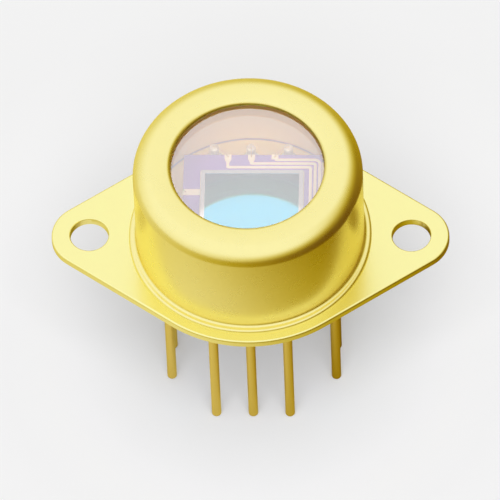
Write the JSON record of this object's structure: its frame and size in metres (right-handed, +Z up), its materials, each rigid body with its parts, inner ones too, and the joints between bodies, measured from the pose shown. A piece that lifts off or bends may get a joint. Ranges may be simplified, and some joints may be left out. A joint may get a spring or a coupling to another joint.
{
  "type": "photodiode",
  "caption": "Photodiode in a gold-plated metal can with a round glass window, a diamond-shaped mounting flange and straight pins below.",
  "frame": {"origin": "centre of the flange's flat underside, which seats on the mounting surface, midway between the two mounting holes", "axes": "+X along the line through the two mounting holes, +Y away from the viewer across the flange, +Z up through the cap to the window; the pins run down along -Z"},
  "size_m": [0.0372, 0.0246, 0.0293],
  "materials": {
    "plated_header": "satin gold plating on a nickel-iron alloy",
    "plated_cap": "satin gold plating on a drawn nickel-iron alloy can",
    "plated_pin": "drawn wire, gold plated",
    "window_glass": "polished, anti-reflection coated",
    "frit": "fused glass frit, matt",
    "seal_glass": "pale sealing glass, glossy",
    "ceramic_plate": "fired alumina, matt",
    "conductor_film": "fired gold film, satin",
    "silicon": "polished silicon with an anti-reflection coat",
    "contact_metal": "bright evaporated metal",
    "ribbon_metal": "bright gold ribbon"
  },
  "bodies": {
    "root": {"header": "plated_header", "cap": "plated_cap", "window": "window_glass", "window_seal": "frit", "pedestal": "plated_header", "substrate": "ceramic_plate", "die_pad": "conductor_film", "track_inner": "conductor_film", "track_middle": "conductor_film", "track_outer": "conductor_film", "chip": "silicon", "chip_contact": "contact_metal", "bond_ribbons": "ribbon_metal", "pin_front_1": "plated_pin", "pin_front_2": "plated_pin", "pin_front_3": "plated_pin", "pin_right_1": "plated_pin", "pin_right_2": "plated_pin", "pin_right_3": "plated_pin", "pin_back_1": "plated_pin", "pin_back_2": "plated_pin", "pin_back_3": "plated_pin", "pin_left_1": "plated_pin", "pin_left_2": "plated_pin", "pin_left_3": "plated_pin", "pin_seal_front_1": "seal_glass", "pin_seal_front_2": "seal_glass", "pin_seal_front_3": "seal_glass", "pin_seal_right_1": "seal_glass", "pin_seal_right_2": "seal_glass", "pin_seal_right_3": "seal_glass", "pin_seal_back_1": "seal_glass", "pin_seal_back_2": "seal_glass", "pin_seal_back_3": "seal_glass", "pin_seal_left_1": "seal_glass", "pin_seal_left_2": "seal_glass", "pin_seal_left_3": "seal_glass"}
  },
  "joints": []
}
